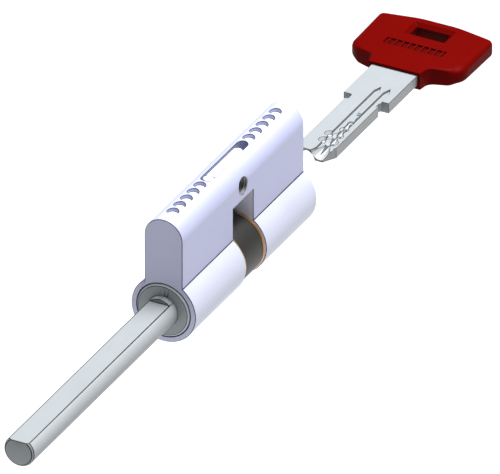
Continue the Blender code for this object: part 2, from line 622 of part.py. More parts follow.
def make_key():
    blade = extruded("key_blade", key_outline(), -KEY_HALF_THICKNESS, KEY_HALF_THICKNESS, "XY",
                     material=STEEL, parent=KEY_PLUG_AXIS)
    # the exact solver leaves open edges where a groove crosses the dimples
    for face, sign in (("upper", 1), ("lower", -1)):
        cut(blade, *key_face_cutters(face, sign), solver="MANIFOLD")

    outline = [(x + KEY_HEAD_X, y + KEY_SIDE) for x, y in mirrored(HEAD_OUTLINE)]
    head = extruded("key_head", outline, -HEAD_HALF_THICKNESS, HEAD_HALF_THICKNESS, "XY",
                    material=RED_PLASTIC, parent=KEY_PLUG_AXIS)
    rounding = head.modifiers.new("rounding", "BEVEL")
    rounding.width = HEAD_ROUNDING
    rounding.segments = 3
    rounding.limit_method = "ANGLE"
    rounding.angle_limit = radians(60)
    on_axis = {"parent": KEY_PLUG_AXIS}
    base = BASE_HALF_WIDTH + HEAD_GAP
    tang = TANG_HALF_WIDTH + HEAD_GAP
    deep = KEY_HALF_THICKNESS + HEAD_GAP
    cut(head,
        box("base_pocket_cutter", (KEY_HEAD_X - PAST, KEY_SIDE - base, -deep),
            (TANG_START_X + HEAD_GAP, KEY_SIDE + base, deep), **on_axis),
        box("tang_pocket_cutter", (KEY_HEAD_X - PAST, KEY_SIDE - tang, -deep),
            (TANG_END_X + HEAD_GAP, KEY_SIDE + tang, deep), **on_axis),
        box("ring_slot_cutter",
            (RING_SLOT_X - RING_SLOT_HALF_LENGTH, KEY_SIDE - RING_SLOT_HALF_WIDTH, -BARREL_RADIUS),
            (RING_SLOT_X + RING_SLOT_HALF_LENGTH, KEY_SIDE + RING_SLOT_HALF_WIDTH, BARREL_RADIUS),
            **on_axis))
    for face, sign in (("upper", 1), ("lower", -1)):
        low, high = sorted((sign * (HEAD_HALF_THICKNESS - LABEL_DEPTH), sign * 2 * HEAD_HALF_THICKNESS))
        cut(head, box(f"{face}_label_cutter",
                      (LABEL_X - LABEL_HALF_LENGTH, KEY_SIDE - LABEL_HALF_WIDTH, low),
                      (LABEL_X + LABEL_HALF_LENGTH, KEY_SIDE + LABEL_HALF_WIDTH, high), **on_axis))


make_housing()
make_bridge()
make_chamber_plugs()
make_pin_stacks()
make_key_plug()
make_shaft_plug()
make_shaft()
make_cam()
make_washers_and_clips()
make_clutch()
make_key()
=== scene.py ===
"""The looks of the euro profile cylinder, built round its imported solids.

Metres, in the solids' own frame: +X runs along the barrel towards the key, +Z to the rounded edge of the
web, and the origin is the centre of the fixing-screw hole. Sizes that the solids have are read from them.
"""
import json
from math import acos, asin, atan2, cos, degrees, hypot, pi, radians, sin

import bmesh
import bpy
from mathutils import Matrix, Vector


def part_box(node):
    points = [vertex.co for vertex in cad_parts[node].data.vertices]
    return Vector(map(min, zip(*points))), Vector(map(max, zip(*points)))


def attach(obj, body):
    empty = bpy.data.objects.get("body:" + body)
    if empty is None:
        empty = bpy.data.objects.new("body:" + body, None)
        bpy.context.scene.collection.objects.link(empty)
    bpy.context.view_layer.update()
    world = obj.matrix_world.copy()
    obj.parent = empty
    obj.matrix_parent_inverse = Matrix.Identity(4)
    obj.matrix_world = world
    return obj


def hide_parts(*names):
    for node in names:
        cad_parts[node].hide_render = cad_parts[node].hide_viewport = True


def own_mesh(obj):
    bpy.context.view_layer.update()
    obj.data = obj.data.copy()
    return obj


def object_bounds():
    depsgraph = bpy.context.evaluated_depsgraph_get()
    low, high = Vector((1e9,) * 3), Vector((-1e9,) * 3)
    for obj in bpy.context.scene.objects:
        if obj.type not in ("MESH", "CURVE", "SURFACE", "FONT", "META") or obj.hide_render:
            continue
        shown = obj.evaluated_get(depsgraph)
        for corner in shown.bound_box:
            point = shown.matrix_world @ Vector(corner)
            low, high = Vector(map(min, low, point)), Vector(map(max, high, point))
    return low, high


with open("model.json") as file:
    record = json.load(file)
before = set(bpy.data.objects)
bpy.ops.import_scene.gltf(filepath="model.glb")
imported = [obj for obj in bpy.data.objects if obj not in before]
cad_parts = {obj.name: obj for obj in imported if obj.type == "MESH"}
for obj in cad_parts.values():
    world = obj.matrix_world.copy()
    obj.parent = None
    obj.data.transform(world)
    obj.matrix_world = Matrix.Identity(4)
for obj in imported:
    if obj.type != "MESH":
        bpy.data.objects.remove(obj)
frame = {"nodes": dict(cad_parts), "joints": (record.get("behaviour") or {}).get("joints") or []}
CAD_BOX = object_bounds()

# ------------------------------------------------------------------ sizes
# the body
HOUSING_LOW, HOUSING_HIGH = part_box("housing")
AXIS_Z = frame["joints"][0]["pos_m"][2]
HALF_LENGTH = HOUSING_HIGH.x
BARREL_RADIUS = AXIS_Z - HOUSING_LOW.z
WEB_HALF = 0.005
WEB_TOP_CENTRE_Z = HOUSING_HIGH.z - WEB_HALF
BORE_RADIUS = 0.0071
CAM_GAP_HALF = 0.0052
CAM_GAP_TOP_Z = AXIS_Z + 0.0153
CHAMBERS = 5
CHAMBER_PITCH = 0.0034
FIRST_CHAMBER_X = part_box("key_pin_1")[0].x + 0.00125
CHAMBER_RADIUS = 0.0014
BLIND_CHAMBER_FLOOR_Z = AXIS_Z + 0.0105
SLOT_RADIUS = 0.0014
SLOT_CENTRE_X = 0.009
SLOT_FLOOR_Z = CAM_GAP_TOP_Z - 0.0005
THREAD_MINOR_RADIUS = 0.00212
THREAD_MAJOR_RADIUS = 0.0025
THREAD_PITCH = 0.0008

# the turning pieces
SHAFT_LOW, SHAFT_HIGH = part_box("shaft")
SHAFT_RADIUS = (SHAFT_HIGH.y - SHAFT_LOW.y) / 2
SHAFT_FLAT = 0.0029
FLAT_START_X = -0.0331
SHAFT_CHAMFER = 0.00045
SHAFT_SOCKET_RADIUS = SHAFT_RADIUS + 0.00006
SHAFT_SOCKET_END_X = -0.0160
SHAFT_PIN_X = -0.0205
SHAFT_PIN_HOLE_RADIUS = 0.0011
ROTOR_LOW, ROTOR_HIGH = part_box("key_plug")
ROTOR_RADIUS = (ROTOR_HIGH.y - ROTOR_LOW.y) / 2
ROTOR_CHAMFER = 0.0005
ROTOR_BACK_X = CAM_GAP_HALF + 0.0001
NECK_RADIUS = 0.0056
CLIP_LOW_X = 0.0034
CLIP_HIGH_X = 0.0042
CLIP_GROOVE_RADIUS = 0.0050
KEYWAY_HALF_HEIGHT = 0.0016
KEYWAY_PLAY = 0.00015
CLUTCH_BORE_RADIUS = 0.0030
CLUTCH_BORE_END_X = 0.0052
CLUTCH_SLOT_HALF = (0.0046, 0.0013)
CAM_RADIUS = 0.0081
CAM_BORE_RADIUS = 0.0059
CAM_RECESS_RADIUS = 0.0069
CAM_RECESS_X = 0.0033
LEVER_RADIUS = 0.0150
LEVER_ROOT_HALF = 0.0052
LEVER_TIP_HALF = 0.0030
LEVER_ANGLE = 30
WASHER_BORE_RADIUS = 0.0058

# the key's blade
BLADE_LOW, BLADE_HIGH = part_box("key_blade")
KEY_SIDE = (BLADE_LOW.y + BLADE_HIGH.y) / 2
KEY_HALF_THICKNESS = (BLADE_HIGH.z - BLADE_LOW.z) / 2
KEY_TIP_X = BLADE_LOW.x
KEY_HEAD_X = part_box("key_head")[0].x
KEY_NECK_X = KEY_TIP_X + 0.0254
KEY_SHOULDER_X = KEY_NECK_X + 0.0025
BLADE_HALF_WIDTH = 0.0046
BLADE_TIP_HALF_WIDTH = 0.0026
BLADE_TIP_LENGTH = 0.0034
NOTCH_HALF_WIDTH = 0.0037
TANG_HALF_WIDTH = 0.0045
BASE_HALF_WIDTH = (BLADE_HIGH.y - BLADE_LOW.y) / 2
DIMPLE_ROW = 0.0019
FIRST_DIMPLE_X = KEY_TIP_X + 0.0060
DIMPLE_DEPTHS = (0.00165, 0.00135, 0.00105, 0.00072, 0.00045)
DIMPLE_FLOOR_RADIUS = 0.00055
SIDE_DIMPLES = (0.0058, 0.0090)
SIDE_DIMPLE_DEPTH = 0.0007
TRACK_HALF_WIDTH = 0.0005
GROOVES = ((0.0001, 0.0015), (0.0026, 0.0041))
GROOVE_DEPTH = 0.0005
GROOVE_END_X = KEY_TIP_X + 0.0320
GROOVE_POINT_X = GROOVE_END_X + 0.0020
TIP_CONE_RADIUS = 0.0024
TIP_CONE_LENGTH = 0.0062
TANG_LENGTH = 0.0014

# the key's head; each corner is (distance along, half width, radius)
HEAD_HALF_THICKNESS = (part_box("key_head")[1].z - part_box("key_head")[0].z) / 2
HEAD_CORNERS = ((0.0, 0.0069, 0), (0.0034, 0.0075, 0.0021), (0.0051, 0.0153, 0.0046),
                (0.0227, 0.0153, 0.0016), (0.0246, 0.0052, 0.0200))
HEAD_ROUNDING_SIDE = 0.0026
HEAD_ROUNDING_FAR = 0.0013
HEAD_ROUNDING_NECK = 0.00015
HEAD_ROUNDING_HEIGHT = 0.0015
HEAD_ROUNDING_STEPS = 6
HEAD_NECK_START = 0.0030
HEAD_NECK_END = 0.0056
HEAD_FAR_START = 0.0190
HEAD_FAR_END = 0.0212
RING_SLOT_X = 0.1105
RING_SLOT_HALF = (0.0021, 0.0046)
RING_RIM_HALF = (0.0032, 0.0057)
RING_RIM_DEPTH = 0.0010
LABEL_X = 0.1024
LABEL_HALF = (0.0013, 0.0080)
LABEL_DEPTH = 0.0005
LABEL_RIBS = 9
LABEL_RIB_HALF = 0.0003

# how far a cutter runs past its piece, the play between fitted pieces, widths of broken edges, and
# numbers of steps round a circle
PAST = 0.002
PLAY = 0.0001
EDGE = 0.00016
FINE_EDGE = 0.00009
FINE = 96
MEDIUM = 48
COARSE = 32

# ------------------------------------------------------------------ mesh tools
ORDER = {"XY": (0, 1, 2), "XZ": (0, 2, 1), "YZ": (1, 2, 0)}
ALONG = {
    "X": Matrix.Rotation(pi / 2, 4, "Y"),
    "Y": Matrix.Rotation(-pi / 2, 4, "X"),
    "Z": Matrix.Identity(4),
}


def piece(name, build):
    """A new object from build(work), which fills a bmesh; its faces are turned outwards at a safe size."""
    mesh = bpy.data.meshes.new(name)
    work = bmesh.new()
    build(work)
    bmesh.ops.scale(work, vec=(1000, 1000, 1000), verts=work.verts)
    bmesh.ops.recalc_face_normals(work, faces=work.faces)
    if work.calc_volume(signed=True) < 0:
        bmesh.ops.reverse_faces(work, faces=work.faces)
    bmesh.ops.scale(work, vec=(0.001, 0.001, 0.001), verts=work.verts)
    work.to_mesh(mesh)
    work.free()
    made = bpy.data.objects.new(name, mesh)
    bpy.context.scene.collection.objects.link(made)
    return made


def cone(low, high, radius_low, radius_high, along, centre, steps=MEDIUM, name="cutter"):
    """A round bar or cone from low to high along one axis; centre gives the other two coordinates."""
    middle = (low + high) / 2
    spot = {"X": (middle, *centre), "Y": (centre[0], middle, centre[1]), "Z": (*centre, middle)}[along]

    def build(work):
        bmesh.ops.create_cone(work, cap_ends=True, segments=steps, radius1=radius_low, radius2=radius_high,
                              depth=high - low, matrix=Matrix.Translation(spot) @ ALONG[along])

    return piece(name, build)


def rod(low, high, radius, along, centre, steps=MEDIUM, name="cutter"):
    return cone(low, high, radius, radius, along, centre, steps, name)


def block(low, high, name="cutter"):
    size = [b - a for a, b in zip(low, high)]
    middle = [(a + b) / 2 for a, b in zip(low, high)]

    def build(work):
        bmesh.ops.create_cube(work, size=1, matrix=Matrix.Translation(middle) @ Matrix.Diagonal((*size, 1)))

    return piece(name, build)


def prism(outline, low, high, plane, name="cutter"):
    """A flat outline in one plane, given a thickness from low to high across it."""
    across = ORDER[plane]

    def point(a, b, c):
        spot = [0, 0, 0]
        for axis, value in zip(across, (a, b, c)):
            spot[axis] = value
        return spot

    def build(work):
        face = work.faces.new([work.verts.new(point(a, b, low)) for a, b in outline])
        raised = bmesh.ops.extrude_face_region(work, geom=[face])["geom"]
        moved = [v for v in raised if isinstance(v, bmesh.types.BMVert)]
        bmesh.ops.translate(work, verts=moved, vec=point(0, 0, high - low))

    return piece(name, build)


def turned(name, profile, along, centre, steps=FINE, closed=False):
    """A turned shape from (position along the axis, radius) pairs.

    A profile that isn't closed starts and ends at radius 0.
    """
    spot = {"X": (0, *centre), "Y": (centre[0], 0, centre[1]), "Z": (*centre, 0)}[along]
    place = Matrix.Translation(spot) @ ALONG[along]

    def build(work):
        rings = []
        for position, radius in profile:
            count = steps if radius else 1
            turn = 2 * pi / count
            spots = [Vector((radius * cos(i * turn), radius * sin(i * turn), position)) for i in range(count)]
            rings.append([work.verts.new(place @ spot) for spot in spots])
        pairs = list(zip(rings, rings[1:])) + ([(rings[-1], rings[0])] if closed else [])
        for one, other in pairs:
            for i in range(steps):
                j = (i + 1) % steps
                corners = [one[i % len(one)], one[j % len(one)], other[j % len(other)], other[i % len(other)]]
                work.faces.new(list(dict.fromkeys(corners)))

    return piece(name, build)


def thread(radius_minor, radius_major, pitch, low, high, steps=36, rows=8):
    """A closed screw-shaped bar round Y, whose flanks rise from the minor to the major radius once a turn."""
    count = int(round((high - low) / pitch)) * rows

    def build(work):
        rings = []
        for row in range(count + 1):
            y = low + (high - low) * row / count
            ring = []
            for i in range(steps):
                phase = (y / pitch - i / steps) % 1
                radius = radius_minor + (radius_major - radius_minor) * (1 - abs(2 * phase - 1))
                turn = 2 * pi * i / steps
                ring.append(work.verts.new((radius * cos(turn), y, radius * sin(turn))))
            rings.append(ring)
        for one, other in zip(rings, rings[1:]):
            for i in range(steps):
                j = (i + 1) % steps
                work.faces.new((one[i], one[j], other[j], other[i]))
        work.faces.new(rings[0])
        work.faces.new(rings[-1])

    return piece("cutter", build)


def applied(made):
    """The piece with its modifiers in its mesh."""
    bpy.context.view_layer.update()
    evaluated = made.evaluated_get(bpy.context.evaluated_depsgraph_get())
    mesh = bpy.data.meshes.new_from_object(evaluated)
    made.modifiers.clear()
    made.data = mesh
    return made


def boolean(target, operation, tools, solver="EXACT"):
    """The target joined with or cut by the tools, which are used up."""
    for tool in tools:
        step = target.modifiers.new("step", "BOOLEAN")
        step.operation = operation
        step.solver = solver
        step.object = tool
    applied(target)
    for tool in tools:
        bpy.data.objects.remove(tool)
    return target


def carve(target, *tools, solver="EXACT"):
    return boolean(target, "DIFFERENCE", tools, solver)


def join(target, *tools):
    return boolean(target, "UNION", tools)


def soften(made, width=EDGE, segments=2, angle=32, edge_material=False):
    """Rounds the sharp edges; with edge_material the rounding takes the piece's second material."""
    step = made.modifiers.new("edges", "BEVEL")
    step.width = width
    step.segments = segments
    step.limit_method = "ANGLE"
    step.angle_limit = radians(angle)
    step.use_clamp_overlap = False
    if edge_material:
        step.material = 1
    return applied(made)


def arc(centre, radius, start, end, steps):
    """Points round an arc, angles in degrees from the first axis of the outline's plane."""
    angles = [radians(start + (end - start) * i / steps) for i in range(steps + 1)]
    return [(centre[0] + radius * cos(a), centre[1] + radius * sin(a)) for a in angles]


def stadium(low, high, radius, steps=16):
    return arc((high, 0), radius, -90, 90, steps) + arc((low, 0), radius, 90, 270, steps)


def filleted(corners, steps=8):
    """An outline whose corners (x, y, radius) are rounded by their own radius."""
    points = []
    count = len(corners)
    for i, (x, y, radius) in enumerate(corners):
        here = Vector((x, y))
        if not radius:
            points.append((x, y))
            continue
        back = (Vector(corners[i - 1][:2]) - here).normalized()
        ahead = (Vector(corners[(i + 1) % count][:2]) - here).normalized()
        half = acos(max(-1, min(1, back.dot(ahead)))) / 2
        middle = here + (back + ahead).normalized() * radius / sin(half)
        first = here + back * radius * cos(half) / sin(half)
        last = here + ahead * radius * cos(half) / sin(half)
        begin = atan2(first.y - middle.y, first.x - middle.x)
        sweep = (atan2(last.y - middle.y, last.x - middle.x) - begin + pi) % (2 * pi) - pi
        points += [(middle.x + radius * cos(begin + sweep * k / steps),
                    middle.y + radius * sin(begin + sweep * k / steps)) for k in range(steps + 1)]
    return points


def mirrored(half):
    """A whole outline from the half of it on the positive side, listed low X to high X."""
    return [(x, -y, *more) for x, y, *more in half] + [(x, y, *more) for x, y, *more in reversed(half)]


# ------------------------------------------------------------------ materials
def node(tree, kind, **values):
    made = tree.nodes.new(kind)
    for name, value in values.items():
        setattr(made, name, value)
    return made


def spread(tree, texture, low, high):
    """A texture's value mapped to low..high."""
    ramp = node(tree, "ShaderNodeMapRange")
    ramp.inputs["To Min"].default_value = low
    ramp.inputs["To Max"].default_value = high
    tree.links.new(texture, ramp.inputs["Value"])
    return ramp.outputs["Result"]


def stretched_noise(tree, scales, detail=3.0):
    """Noise drawn out along the axis with the smallest scale, as brushing and drawing leave it."""
    place = node(tree, "ShaderNodeTexCoord")
    mapping = node(tree, "ShaderNodeMapping")
    mapping.inputs["Scale"].default_value = scales
    noise = node(tree, "ShaderNodeTexNoise")
    noise.inputs["Scale"].default_value = 1.0
    noise.inputs["Detail"].default_value = detail
    tree.links.new(place.outputs["Object"], mapping.inputs["Vector"])
    tree.links.new(mapping.outputs["Vector"], noise.inputs["Vector"])
    return noise.outputs["Fac"]


def ring_noise(tree, frequency):
    """Noise that changes only with the distance from the barrel's axis, as facing on a lathe leaves it."""
    place = node(tree, "ShaderNodeTexCoord")
    move = node(tree, "ShaderNodeVectorMath", operation="SUBTRACT")
    move.inputs[1].default_value = (0, 0, AXIS_Z)
    flatten = node(tree, "ShaderNodeVectorMath", operation="MULTIPLY")
    flatten.inputs[1].default_value = (0, 1, 1)
    length = node(tree, "ShaderNodeVectorMath", operation="LENGTH")
    noise = node(tree, "ShaderNodeTexNoise", noise_dimensions="1D")
    noise.inputs["Scale"].default_value = frequency
    tree.links.new(place.outputs["Object"], move.inputs[0])
    tree.links.new(move.outputs["Vector"], flatten.inputs[0])
    tree.links.new(flatten.outputs["Vector"], length.inputs[0])
    tree.links.new(length.outputs["Value"], noise.inputs["W"])
    return noise.outputs["Fac"]


def finish(name, colour, roughness, metallic, fine, tint=0.05, bump=0.000004, specular=0.5):
    """A surface whose colour, roughness and relief all vary with fine(tree), the marks its making leaves."""
    material = bpy.data.materials.new(name)
    material.use_nodes = True
    tree = material.node_tree
    shader = tree.nodes["Principled BSDF"]
    shader.inputs["Metallic"].default_value = metallic
    shader.inputs["Specular IOR Level"].default_value = specular
    marks = fine(tree)
    cloud = node(tree, "ShaderNodeTexNoise")
    cloud.inputs["Scale"].default_value = 90.0
    place = node(tree, "ShaderNodeTexCoord")
    tree.links.new(place.outputs["Object"], cloud.inputs["Vector"])
    both = node(tree, "ShaderNodeMix", data_type="FLOAT")
    both.inputs["Factor"].default_value = 0.5
    tree.links.new(marks, both.inputs["A"])
    tree.links.new(cloud.outputs["Fac"], both.inputs["B"])
    shade = node(tree, "ShaderNodeMix", data_type="RGBA")
    shade.inputs["A"].default_value = (*[c * (1 - tint) for c in colour], 1)
    shade.inputs["B"].default_value = (*[min(1, c * (1 + tint)) for c in colour], 1)
    tree.links.new(spread(tree, both.outputs["Result"], -0.5, 1.5), shade.inputs["Factor"])
    tree.links.new(shade.outputs["Result"], shader.inputs["Base Color"])
    rough = spread(tree, both.outputs["Result"], roughness - 0.12, roughness + 0.12)
    tree.links.new(rough, shader.inputs["Roughness"])
    relief = node(tree, "ShaderNodeBump")
    relief.inputs["Distance"].default_value = bump
    tree.links.new(marks, relief.inputs["Height"])
    tree.links.new(relief.outputs["Normal"], shader.inputs["Normal"])
    return material


def brushed_x(tree):
    return stretched_noise(tree, (150, 5200, 5200))


def brushed_z(tree):
    return stretched_noise(tree, (4200, 4200, 260))


def blasted(tree):
    return stretched_noise(tree, (5200, 5200, 5200))


def faced(tree):
    return ring_noise(tree, 5200)


def drawn(tree):
    return stretched_noise(tree, (2500, 2500, 2500))


def moulded(tree):
    return stretched_noise(tree, (2600, 2600, 2600), 4.0)


BODY = finish("satin_nickel", (0.455, 0.475, 0.67), 0.45, 0.12, brushed_x, 0.04)
# Painted highlight: a lighter copy of the satin nickel for the barrel's round outside, standing in for the
# highlight on its upper side.
BODY_PAINTED_HIGHLIGHT = finish("satin_nickel_barrel", (0.54, 0.56, 0.69), 0.40, 0.12, brushed_x, 0.04)
# Painted light: a lighter copy of the satin nickel for the faced end faces, lifting the shade that falls on
# them.
BODY_FACED_PAINTED_LIGHT = finish("satin_nickel_faced", (0.57, 0.59, 0.79), 0.50, 0.12, brushed_z, 0.04)
# Painted light: a much lighter copy of the satin nickel for the walls of the cam gap, cancelling the shade
# that falls in the gap.
BODY_CUT_PAINTED_LIGHT = finish("milled_nickel", (0.85, 0.86, 0.98), 0.50, 0.12, brushed_z, 0.04)
# Bright nickel for the bar, the dowel and the chamber plugs; on the steel plugs' front chamfers it is a
# painted highlight.
BRIGHT_NICKEL_AND_PAINTED_HIGHLIGHT = finish("bright_nickel", (0.56, 0.58, 0.64), 0.50, 0.06, faced, 0.04, specular=0.25)
BODY_EDGE = finish("nickel_edge", (0.015, 0.015, 0.04), 0.60, 0.0, blasted, 0.06)
GROUND = finish("ground_steel", (0.275, 0.30, 0.315), 0.50, 0.06, brushed_x, 0.04, specular=0.25)
# Painted light: a lighter copy of the ground steel. It lifts the shade on the shaft's round side and puts a
# painted highlight on the key's dimples, grooves and tip cone.
GROUND_PAINTED_LIGHT = finish("ground_steel_round", (0.37, 0.39, 0.41), 0.50, 0.06, brushed_x, 0.04, specular=0.25)
GROUND_SIDE = finish("ground_steel_side", (0.28, 0.29, 0.30), 0.45, 0.25, brushed_z, 0.06)
GROUND_FACE = finish("ground_steel_faced", (0.29, 0.32, 0.33), 0.45, 0.25, faced, 0.05)
GROUND_EDGE = finish("steel_edge", (0.02, 0.02, 0.02), 0.60, 0.0, blasted, 0.06)
COPPER = finish("washer_copper", (0.62, 0.33, 0.12), 0.36, 0.9, faced, 0.10)
BRASS = finish("pin_brass", (0.72, 0.50, 0.22), 0.32, 1.0, faced, 0.06)
OXIDE = finish("black_oxide", (0.030, 0.030, 0.028), 0.48, 0.3, blasted, 0.15)
WIRE = finish("spring_wire", (0.45, 0.46, 0.48), 0.30, 1.0, drawn, 0.08)
RED = finish("red_moulding", (0.105, 0.0008, 0.0003), 0.42, 0.0, moulded, 0.08, 0.000006, specular=0.02)
# Painted shade: a darker copy of the red moulding for the ring slot and the floor of the label recess.
RED_PAINTED_SHADE = finish("red_moulding_recess", (0.060, 0.001, 0.001), 0.5, 0.0, moulded, 0.10, 0.000006,
                    specular=0.03)


def coat_with(made, *materials):
    """Gives the piece its materials: the first goes everywhere, the second on edges that soften breaks."""
    made.data.materials.clear()
    for material in materials:
        made.data.materials.append(material)


def paint(made, material, chosen):
    """Gives one of the piece's materials to the faces for which chosen(centre, normal) holds."""
    index = made.data.materials.find(material.name)
    for face in made.data.polygons:
        if chosen(face.center, face.normal):
            face.material_index = index


def show(made, name, body, nodes, sharp=30):
    """Names a finished piece, shades it and hands it to its body in place of its solids."""
    made.name = name
    made.data.shade_smooth()
    made.data.set_sharp_from_angle(angle=radians(sharp))
    step = made.modifiers.new("flat_faces", "WEIGHTED_NORMAL")
    step.keep_sharp = True
    applied(made)
    made.data.name = name
    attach(made, body)
    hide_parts(*nodes)


def chamber_places():
    """The number and X of each pin chamber, from the key's end inwards."""
    for number in range(CHAMBERS):
        yield number + 1, FIRST_CHAMBER_X - number * CHAMBER_PITCH


# ------------------------------------------------------------------ body
def make_housing():
    web_angle = degrees(asin(WEB_HALF / BARREL_RADIUS))
    outline = (arc((0, WEB_TOP_CENTRE_Z), WEB_HALF, 0, 180, MEDIUM)
               + arc((0, AXIS_Z), BARREL_RADIUS, 90 + web_angle, 450 - web_angle, FINE))
    above = HOUSING_HIGH.z + PAST
    gap_low = (-CAM_GAP_HALF, -2 * BARREL_RADIUS, 2 * AXIS_Z)
    gap_high = (CAM_GAP_HALF, 2 * BARREL_RADIUS, CAM_GAP_TOP_Z)
    body = prism(outline, -HALF_LENGTH, HALF_LENGTH, "YZ", "housing_shell")
    coat_with(body, BODY, BODY_EDGE, BODY_FACED_PAINTED_LIGHT, BODY_CUT_PAINTED_LIGHT, GROUND_SIDE, BODY_PAINTED_HIGHLIGHT)
    tools = [rod(-HALF_LENGTH - PAST, HALF_LENGTH + PAST, BORE_RADIUS, "X", (0, AXIS_Z), FINE),
             block(gap_low, gap_high),
             rod(-2 * WEB_HALF, 2 * WEB_HALF, THREAD_MINOR_RADIUS, "Y", (0, 0)),
             prism(stadium(-SLOT_CENTRE_X, SLOT_CENTRE_X, SLOT_RADIUS), SLOT_FLOOR_Z, above, "XY")]
    for _, x in chamber_places():
        tools.append(rod(AXIS_Z + BORE_RADIUS / 2, above, CHAMBER_RADIUS, "Z", (x, 0), COARSE))
        tools.append(rod(BLIND_CHAMBER_FLOOR_Z, above, CHAMBER_RADIUS, "Z", (-x, 0), COARSE))
    carve(body, *tools, solver="MANIFOLD")
    # Painted highlight: the barrel's round outside takes the lighter copy of the nickel.
    paint(body, BODY_PAINTED_HIGHLIGHT, lambda centre, normal: abs(normal.x) < 0.1
          and abs(hypot(centre.y, centre.z - AXIS_Z) - BARREL_RADIUS) < EDGE)
    soften(body, edge_material=True)
    carve(body, thread(THREAD_MINOR_RADIUS, THREAD_MAJOR_RADIUS, THREAD_PITCH, -WEB_HALF - THREAD_PITCH,
                       WEB_HALF + THREAD_PITCH), solver="MANIFOLD")
    # Painted light: the end faces take the lighter copy of the nickel.
    paint(body, BODY_FACED_PAINTED_LIGHT, lambda centre, normal: abs(normal.x) > 0.99 and abs(centre.x) > HALF_LENGTH - EDGE)
    # Painted light: the cam gap's walls take the much lighter nickel, against the shade in the gap.
    paint(body, BODY_CUT_PAINTED_LIGHT, lambda centre, normal: abs(centre.x) < CAM_GAP_HALF + EDGE
          and max(map(abs, normal.xz)) > 0.99 and centre.z < CAM_GAP_TOP_Z + EDGE)
    paint(body, GROUND_SIDE, lambda centre, normal: hypot(centre.x, centre.z) < THREAD_MAJOR_RADIUS + EDGE
          and abs(normal.y) < 0.9)
    show(body, "housing_shell", "housing", ["housing"])


def make_bridge():
    low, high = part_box("bridge_bar")
    radius = (high.y - low.y) / 2
    dowel_low, dowel_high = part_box("bridge_dowel")
    dowel_x = (dowel_low.x + dowel_high.x) / 2
    bar = prism(arc((high.x - radius, 0), radius, -90, 90, 24) + [(dowel_x, radius), (dowel_x, -radius)],
                low.z, high.z, "XY", "bridge")
    coat_with(bar, BRIGHT_NICKEL_AND_PAINTED_HIGHLIGHT, GROUND_EDGE)
    carve(bar, rod(-2 * WEB_HALF, 2 * WEB_HALF, THREAD_MAJOR_RADIUS, "Y", (0, 0)),
          rod(low.z - PAST, high.z + PAST, radius + 2 * PLAY, "Z", (dowel_x, 0)))
    soften(bar, FINE_EDGE, edge_material=True)
    show(bar, "reinforcing_bar", "housing", ["bridge_bar"])
    crown = 0.0003
    crown_steps = 6
    shares = [i / crown_steps for i in range(crown_steps + 1)]
    top = [(dowel_high.z - crown * share ** 2, radius * share) for share in shares]
    dowel = turned("dowel", top + [(dowel_low.z, radius), (dowel_low.z, 0)], "Z", (dowel_x, 0), MEDIUM)
    coat_with(dowel, BRIGHT_NICKEL_AND_PAINTED_HIGHLIGHT)
    show(dowel, "locating_dowel", "housing", ["bridge_dowel"])


def make_chamber_plugs():
    edge = 0.00025
    for side in ("key", "shaft"):
        for number in range(1, CHAMBERS + 1):
            name = f"{side}_chamber_plug_{number}"
            low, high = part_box(name)
            radius = (high.x - low.x) / 2
            rounding = [(high.z - edge + edge * cos(a), radius - edge + edge * sin(a))
                        for a in (i * pi / 8 for i in range(5))]
            plug = turned(name, [(high.z, 0)] + rounding + [(low.z, radius), (low.z, 0)], "Z",
                          ((low.x + high.x) / 2, 0), MEDIUM)
            coat_with(plug, BRIGHT_NICKEL_AND_PAINTED_HIGHLIGHT)
            show(plug, f"{side}_stopper_{number}", "housing", [name])


# ------------------------------------------------------------------ turning pieces
def make_key_plug():
    back = ROTOR_LOW.x
    face = ROTOR_HIGH.x
    profile = [(face, 0), (face, ROTOR_RADIUS - ROTOR_CHAMFER), (face - ROTOR_CHAMFER, ROTOR_RADIUS),
               (ROTOR_BACK_X, ROTOR_RADIUS), (ROTOR_BACK_X, NECK_RADIUS), (CLIP_HIGH_X, NECK_RADIUS),
               (CLIP_HIGH_X, CLIP_GROOVE_RADIUS), (CLIP_LOW_X, CLIP_GROOVE_RADIUS),
               (CLIP_LOW_X, NECK_RADIUS), (back, NECK_RADIUS), (back, 0)]
    plug = turned("plug", profile, "X", (0, AXIS_Z))
    coat_with(plug, GROUND, GROUND_EDGE, GROUND_FACE, BRIGHT_NICKEL_AND_PAINTED_HIGHLIGHT)
    key_low = KEY_SIDE - BLADE_HALF_WIDTH - KEYWAY_PLAY
    slot_half_width, slot_half_height = CLUTCH_SLOT_HALF
    tools = [rod(0.0045, 0.0067, slot_half_width, "X", (0, AXIS_Z)),
             block((0.0062, key_low, AXIS_Z - KEYWAY_HALF_HEIGHT),
                   (face + PAST, ROTOR_RADIUS + PAST, AXIS_Z + KEYWAY_HALF_HEIGHT)),
             block((back - PAST, -slot_half_width, AXIS_Z - slot_half_height),
                   (CLUTCH_BORE_END_X, slot_half_width, AXIS_Z + slot_half_height)),
             rod(back - PAST, CLUTCH_BORE_END_X, CLUTCH_BORE_RADIUS, "X", (0, AXIS_Z))]
    tools += [rod(AXIS_Z + 0.0005, AXIS_Z + ROTOR_RADIUS + PAST, CHAMBER_RADIUS, "Z", (x, 0), COARSE)
              for _, x in chamber_places()]
    carve(plug, *tools)
    # Painted highlight: the front chamfer of the steel plug takes the bright nickel.
    paint(plug, BRIGHT_NICKEL_AND_PAINTED_HIGHLIGHT, lambda centre, normal: centre.x > face - ROTOR_CHAMFER and 0.5 < normal.x < 0.9)
    soften(plug, FINE_EDGE, edge_material=True, angle=40)
    paint(plug, GROUND_FACE, lambda centre, normal: normal.x > 0.99 and centre.x > face - EDGE)
    show(plug, "key_rotor", "key_plug", ["key_plug"])


